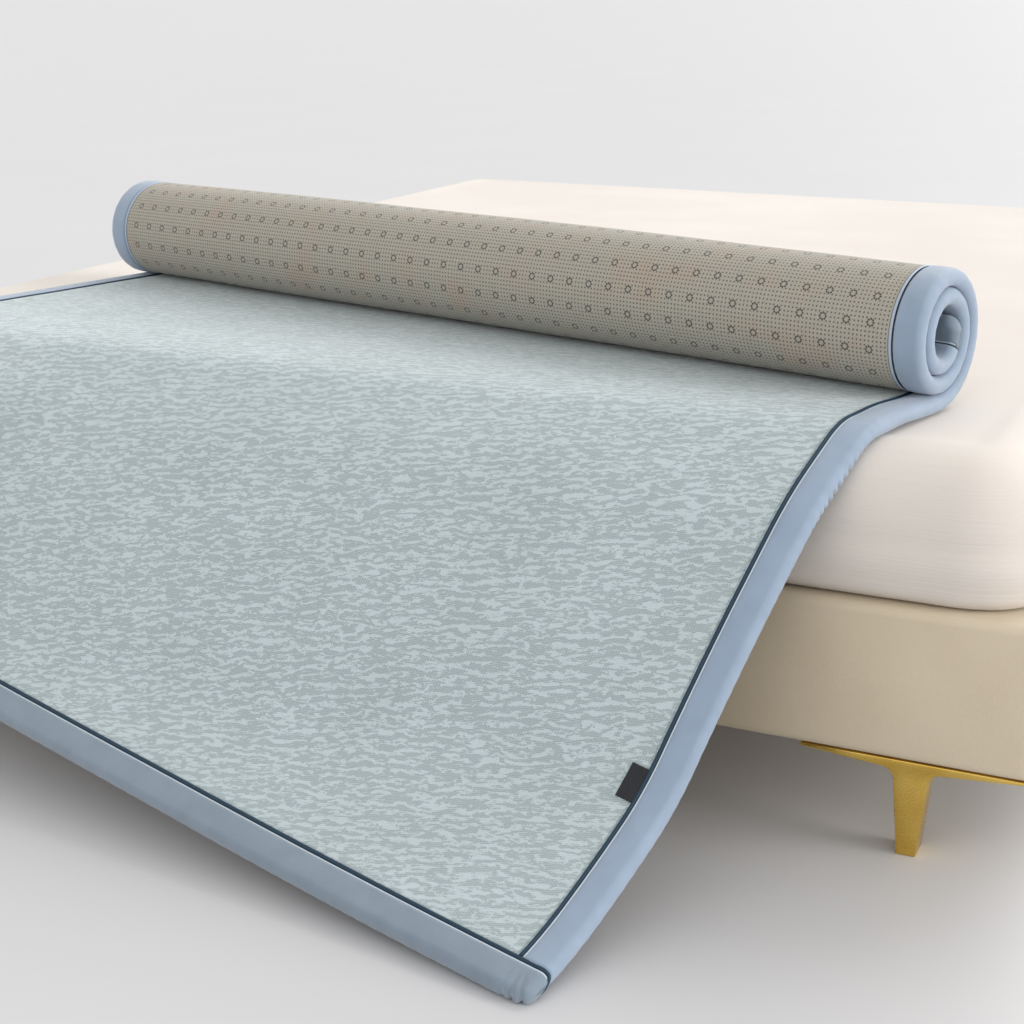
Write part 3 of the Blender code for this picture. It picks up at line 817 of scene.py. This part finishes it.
def satin_cord(name, dark, light, highlight_band):
    """Teal satin, with an optional pale band along the cord's outside that is painted highlight; its half
    width is given in turns.
    """
    material, tree, shader = new_material(name, 0.5)
    flat = add(tree, "ShaderNodeUVMap", uv_map="flat").outputs[0]
    apart = add(tree, "ShaderNodeSeparateXYZ", {0: flat})
    slant = calc(tree, "MULTIPLY_ADD", apart.outputs[0], TWIST_SLANT, apart.outputs[1])
    twist = calc(tree, "SINE", calc(tree, "MULTIPLY", slant, 2 * math.pi / TWIST_PITCH))
    fine = noise(tree, flat, 60.0, 2.0)
    teal = mix_colour(tree, ramp(tree, fine, 0.3, 0.7), srgb(*dark), srgb(*(c + 8 for c in dark)))
    # Pale band along the cord's outside: painted highlight.
    if highlight_band > 0.0:
        away = calc(tree, "ABSOLUTE", calc(tree, "SUBTRACT", apart.outputs[0], 0.5))
        teal = mix_colour(tree, ramp(tree, away, 0.5 - highlight_band, 0.5 - highlight_band + 0.02), teal, srgb(*light))
    tree.links.new(teal, shader.inputs["Base Color"])
    bump(tree, shader, twist, 0.00008)
    return material


teal_cord = satin_cord("teal_piping", (4, 46, 68), (180, 196, 206), 0.0)
# The back piping's pale band is painted highlight.
back_cord_painted_highlight = satin_cord("back_piping_painted_highlight", (44, 58, 72), (176, 190, 206), 0.17)
# Colour of the thin pale cord: painted highlight.
painted_highlight_cord = satin_cord("piping_painted_highlight", (218, 230, 238), (218, 230, 238), 0.0)


def tube(name, u, v, n, lean, radius_out, radius_side, material, closed):
    """Cord along places in the mat; lean is the direction, in u, v, n, that faces out of the seam."""
    around = 12
    step = 0.0004
    centre = place(u, v, n)
    out = place(u + lean[0] * step, v + lean[1] * step, n + lean[2] * step) - centre
    ahead = np.roll(centre, -1, 0) - np.roll(centre, 1, 0)
    if not closed:
        ahead[0], ahead[-1] = centre[1] - centre[0], centre[-1] - centre[-2]
    ahead /= np.linalg.norm(ahead, axis=1)[:, None]
    out -= ahead * np.sum(out * ahead, axis=1)[:, None]
    out /= np.linalg.norm(out, axis=1)[:, None]
    side = np.cross(ahead, out)
    turn = np.arange(around) / around * 2 * math.pi
    rings = centre[:, None, :] + radius_out * out[:, None, :] * np.cos(turn)[None, :, None]
    rings = rings + radius_side * side[:, None, :] * np.sin(turn)[None, :, None]
    length = np.concatenate([[0.0], np.cumsum(np.linalg.norm(np.diff(centre, axis=0), axis=1))])
    flat = np.stack(np.broadcast_arrays(np.linspace(0.0, 1.0, around + 1)[None, :], length[:, None]), axis=-1)
    if not closed:
        return lofted(name, rings, flat, material)
    rows = len(rings)
    index = np.arange(rows * around).reshape(rows, around)
    there = np.roll(index, -1, 0)
    quads = np.stack([index, np.roll(index, -1, 1), np.roll(there, -1, 1), there], axis=-1).reshape(-1, 4)
    flat = np.concatenate([flat, flat[:1] + np.array([0.0, length[-1]])], axis=0)
    corner = np.stack([flat[:-1, :-1], flat[:-1, 1:], flat[1:, 1:], flat[1:, :-1]], axis=2).reshape(-1, 2)
    return finish_mesh(name, rings.reshape(-1, 3), [tuple(q) for q in quads.tolist()], material, corner)


def side_piping(word, mirrored, back):
    """Piping down one side, on the top or on the back; on the top the pale cord of painted highlight goes
    with it.
    """
    v = np.linspace(SEAM + CORD_END, LENGTH - SEAM - CORD_END, 430)
    face = -1.0 if back else 1.0
    node = "piping_" + word + ("_back" if back else "_top")

    def line(shift, level, radius_out, radius_side, material, name):
        u = SEAM + shift
        u = WIDTH - u if mirrored else u
        n = level if back else THICK - level
        cord = tube(name, np.full_like(v, u), v, np.full_like(v, n), (0.0, 0.0, face),
                    radius_out, radius_side, material, False)
        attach(cord, "root")
        return cord

    if back:
        cord = line(0.0, BACK_LEVEL, BACK_RADIUS, BACK_RADIUS, back_cord_painted_highlight, node + "_cord")
    else:
        cord = line(PIPING_SHIFT, PIPING_LEVEL, PIPING_RADIUS, PIPING_RADIUS, teal_cord, node + "_cord")
        # Pale cord beside the teal one: painted highlight.
        line(-HIGHLIGHT_CORD_SHIFT, HIGHLIGHT_CORD_LEVEL, HIGHLIGHT_CORD_HALF, HIGHLIGHT_CORD_HALF, painted_highlight_cord, node + "_edge")
    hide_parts(node)


for word, mirrored in (("right", False), ("left", True)):
    for back in (False, True):
        side_piping(word, mirrored, back)


def cross_piping(word, v_seam, toward, radius):
    """Piping round the whole mat: over the top, round one side, back underneath, round the other."""

    def loop(shift, level, radius_out, radius_side, material, name):
        half = THICK / 2 - level
        span = np.linspace(THICK / 2, WIDTH - THICK / 2, 330)
        turn = np.radians(np.linspace(90, -90, 26))[1:-1]
        u = np.concatenate([span, WIDTH - THICK / 2 + half * np.cos(turn),
                            WIDTH - span, THICK / 2 - half * np.cos(turn)])
        n = np.concatenate([np.full_like(span, THICK - level), THICK / 2 + half * np.sin(turn),
                            np.full_like(span, level), THICK / 2 - half * np.sin(turn)])
        du = np.concatenate([np.zeros_like(span), np.cos(turn), np.zeros_like(span), -np.cos(turn)])
        dn = np.concatenate([np.ones_like(span), np.sin(turn), -np.ones_like(span), -np.sin(turn)])
        v = np.full_like(u, v_seam + toward * shift)
        cord = tube(name, u, v, n, (du, 0.0, dn), radius_out, radius_side, material, True)
        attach(cord, "root")
        return cord

    cord = loop(PIPING_SHIFT, PIPING_LEVEL, radius, radius, teal_cord, "piping_" + word + "_cord")
    # Pale cord beside the teal one: painted highlight.
    loop(-HIGHLIGHT_CORD_SHIFT, HIGHLIGHT_CORD_LEVEL, HIGHLIGHT_CORD_HALF, HIGHLIGHT_CORD_HALF, painted_highlight_cord, "piping_" + word + "_edge")
    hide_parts("piping_" + word)


cross_piping("front", SEAM, 1, PIPING_RADIUS)
cross_piping("far", LENGTH - SEAM, -1, FAR_RADIUS)


# Seam stitches: a row of dark thread along the edge of each side binding and of the front binding
# on the top, and along the felt's edge at both sides underneath, where the machine closed the seams.

STITCH_PITCH = 0.0028
STITCH_LENGTH = 0.0026
STITCH_THICK = 0.0009
STITCH_BESIDE = 0.0048
STITCH_SUNK = 0.0008
BACK_BESIDE = 0.0026
BACK_SUNK = 0.0006


def thread():
    material, tree, shader = new_material("dark_thread", 0.6)
    fibre = noise(tree, object_place(tree), 3000.0, 1.0)
    colour = mix_colour(tree, fibre, srgb(40, 52, 66), srgb(60, 72, 86))
    tree.links.new(colour, shader.inputs["Base Color"])
    bump(tree, shader, fibre, 0.0001)
    return material


def stitch_tree():
    """Row of small oval stitches along a line of points."""
    tree = bpy.data.node_groups.new("stitch_row", "GeometryNodeTree")
    face = tree.interface
    face.new_socket(name="Line", in_out="INPUT", socket_type="NodeSocketGeometry")
    for name, value in (("Pitch", STITCH_PITCH), ("Length", STITCH_LENGTH), ("Thickness", STITCH_THICK)):
        socket = face.new_socket(name=name, in_out="INPUT", socket_type="NodeSocketFloat")
        socket.default_value = value
    face.new_socket(name="Thread", in_out="INPUT", socket_type="NodeSocketMaterial")
    face.new_socket(name="Stitches", in_out="OUTPUT", socket_type="NodeSocketGeometry")
    start = add(tree, "NodeGroupInput").outputs
    curve = add(tree, "GeometryNodeMeshToCurve", {"Mesh": start["Line"]}).outputs[0]
    spots = add(tree, "GeometryNodeCurveToPoints", {"Curve": curve, "Length": start["Pitch"]},
                mode="LENGTH").outputs
    oval = add(tree, "GeometryNodeMeshUVSphere", {"Segments": 6, "Rings": 4, "Radius": 0.5}).outputs[0]
    sides = {0: start["Thickness"], 1: start["Thickness"], 2: start["Length"]}
    size = add(tree, "ShaderNodeCombineXYZ", sides).outputs[0]
    stitch = add(tree, "GeometryNodeTransform", {"Geometry": oval, "Scale": size}).outputs[0]
    row = add(tree, "GeometryNodeInstanceOnPoints", {"Points": spots["Points"], "Instance": stitch,
                                                     "Rotation": spots["Rotation"]}).outputs[0]
    real = add(tree, "GeometryNodeRealizeInstances", {0: row}).outputs[0]
    smooth = add(tree, "GeometryNodeSetShadeSmooth", {0: real}).outputs[0]
    paint = {"Geometry": smooth, "Material": start["Thread"]}
    painted = add(tree, "GeometryNodeSetMaterial", paint).outputs[0]
    add(tree, "NodeGroupOutput", {0: painted})
    return tree


seam_thread = thread()
stitch_row = stitch_tree()


def stitches(name, u, v, n):
    """Row of stitches along a line on the mat, made into a plain mesh."""
    points = place(u, v, n)
    mesh = bpy.data.meshes.new(name)
    mesh.from_pydata([tuple(p) for p in points], [(i, i + 1) for i in range(len(points) - 1)], [])
    row = bpy.data.objects.new(name, mesh)
    bpy.context.scene.collection.objects.link(row)
    modifier = row.modifiers.new("stitches", "NODES")
    modifier.node_group = stitch_row
    asked = [item for item in stitch_row.interface.items_tree if item.in_out == "INPUT"]
    sockets = {item.name: item.identifier for item in asked}
    modifier[sockets["Thread"]] = seam_thread
    bpy.context.view_layer.update()
    made = bpy.data.meshes.new_from_object(row.evaluated_get(bpy.context.evaluated_depsgraph_get()))
    row.modifiers.clear()
    row.data = made
    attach(row, "root")


stitch_v = np.linspace(SEAM + 0.006, LENGTH - SEAM - 0.006, 600)
for word, mirrored in (("right", False), ("left", True)):
    for back in (False, True):
        offset = SEAM + BACK_BESIDE if back else SEAM - STITCH_BESIDE
        level = BACK_SUNK if back else THICK - STITCH_SUNK
        column = np.full_like(stitch_v, WIDTH - offset if mirrored else offset)
        stitches("stitches_" + word + ("_back" if back else "_top"), column, stitch_v, level)
front_u = np.linspace(0.012, WIDTH - 0.012, 500)
stitches("stitches_front_top", front_u, SEAM - STITCH_BESIDE, THICK - STITCH_SUNK)


# Label: a blank navy woven tab, folded double, its ends caught in the right side seam near the
# front. It lies on the jacquard, a little raised at its fold.

LABEL_FROM = 0.258
LABEL_TO = 0.300
LABEL_WIDE = 0.0185
LABEL_RISE = 0.0006
LABEL_THICK = 0.0011
RIB_PITCH = 0.0005
PICK_PITCH = 0.0007


def navy_tab():
    material, tree, shader = new_material("navy_tab", 0.6, sheen=0.1)
    flat = add(tree, "ShaderNodeUVMap", uv_map="flat").outputs[0]
    apart = add(tree, "ShaderNodeSeparateXYZ", {0: flat})
    ribs = calc(tree, "SINE", calc(tree, "MULTIPLY", apart.outputs[1], 2 * math.pi / RIB_PITCH))
    picks = calc(tree, "SINE", calc(tree, "MULTIPLY", apart.outputs[0], 2 * math.pi / PICK_PITCH))
    weave = calc(tree, "MULTIPLY", ribs, picks)
    colour = mix_colour(tree, calc(tree, "MULTIPLY_ADD", weave, 0.4, 0.5), srgb(10, 13, 19), srgb(24, 28, 37))
    tree.links.new(colour, shader.inputs["Base Color"])
    bump(tree, shader, weave, 0.00012)
    return material


def label():
    """Tab drawn as a flat loop: lower face out to the fold and upper face back to the seam."""
    turn = np.linspace(-math.pi / 2, math.pi / 2, 7)
    near, far = SEAM + 0.0012, SEAM + VALLEY - 0.0006 + LABEL_WIDE
    reach = np.linspace(near, far - LABEL_THICK / 2, 16)
    rise = LABEL_RISE * soft_step(reach, near, near + 0.004) + 0.0006 * soft_step(reach, far - 0.010, far)
    low = THICK + rise
    fold_u = reach[-1] + LABEL_THICK / 2 * np.cos(turn)
    fold_n = low[-1] + LABEL_THICK / 2 + LABEL_THICK / 2 * np.sin(turn)
    u = np.concatenate([reach[:-1], fold_u, reach[:-1][::-1]])[None, :]
    n = np.concatenate([low[:-1], fold_n, (low[:-1] + LABEL_THICK)[::-1]])[None, :]
    v = np.linspace(LABEL_FROM, LABEL_TO, 40)[:, None]
    waver = 0.0003 * np.sin((v - LABEL_FROM) * 110.0) * soft_step(u, near, far)
    tab = lofted("blank_label", place(u, v, n + waver)[:, ::-1], flat_map(u, v), navy_tab())
    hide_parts("label")
    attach(tab, "root")


label()


# Floor and light: a plain pale floor, soft lights from behind, from the right and from the front,
# and a pale room light all round.

FLOOR_RADIUS = 150.0
DAYLIGHT = (1.0, 0.99, 0.98)
ROOM_LIGHT = 0.80


def pale_floor():
    material, tree, shader = new_material("pale_floor", 0.45)
    cloud = noise(tree, object_place(tree), 1.2, 2.0)
    colour = mix_colour(tree, cloud, srgb(203, 203, 205), srgb(207, 207, 209))
    tree.links.new(colour, shader.inputs["Base Color"])
    return material


floor_mesh = bpy.data.meshes.new("floor")
floor_bm = bmesh.new()
bmesh.ops.create_circle(floor_bm, cap_ends=True, radius=FLOOR_RADIUS, segments=64)
floor_bm.to_mesh(floor_mesh)
floor_bm.free()
floor_mesh.materials.append(pale_floor())
floor = bpy.data.objects.new("floor", floor_mesh)
bpy.context.scene.collection.objects.link(floor)


def soft_light(name, toward, strength, spread):
    """Far-off lamp as wide as a window, so that its light is as strong on every side of the bed."""
    data = bpy.data.lights.new(name, "SUN")
    data.energy = strength
    data.angle = math.radians(spread)
    data.color = DAYLIGHT
    light = bpy.data.objects.new(name, data)
    bpy.context.scene.collection.objects.link(light)
    light.location = toward
    light.rotation_euler = (-Vector(toward)).to_track_quat("-Z", "Y").to_euler()


soft_light("back_light", (0.8, 3.4, 2.7), 1.3, 40.0)
soft_light("side_light", (3.8, 0.3, 1.0), 1.9, 30.0)
soft_light("front_light", (-1.0, -4.0, 2.2), 0.4, 60.0)

world = bpy.data.worlds.new("pale_room")
world.use_nodes = True
world.node_tree.nodes["Background"].inputs["Color"].default_value = (*DAYLIGHT, 1.0)
world.node_tree.nodes["Background"].inputs["Strength"].default_value = ROOM_LIGHT
bpy.context.scene.world = world
bpy.context.scene.view_settings.view_transform = "Standard"
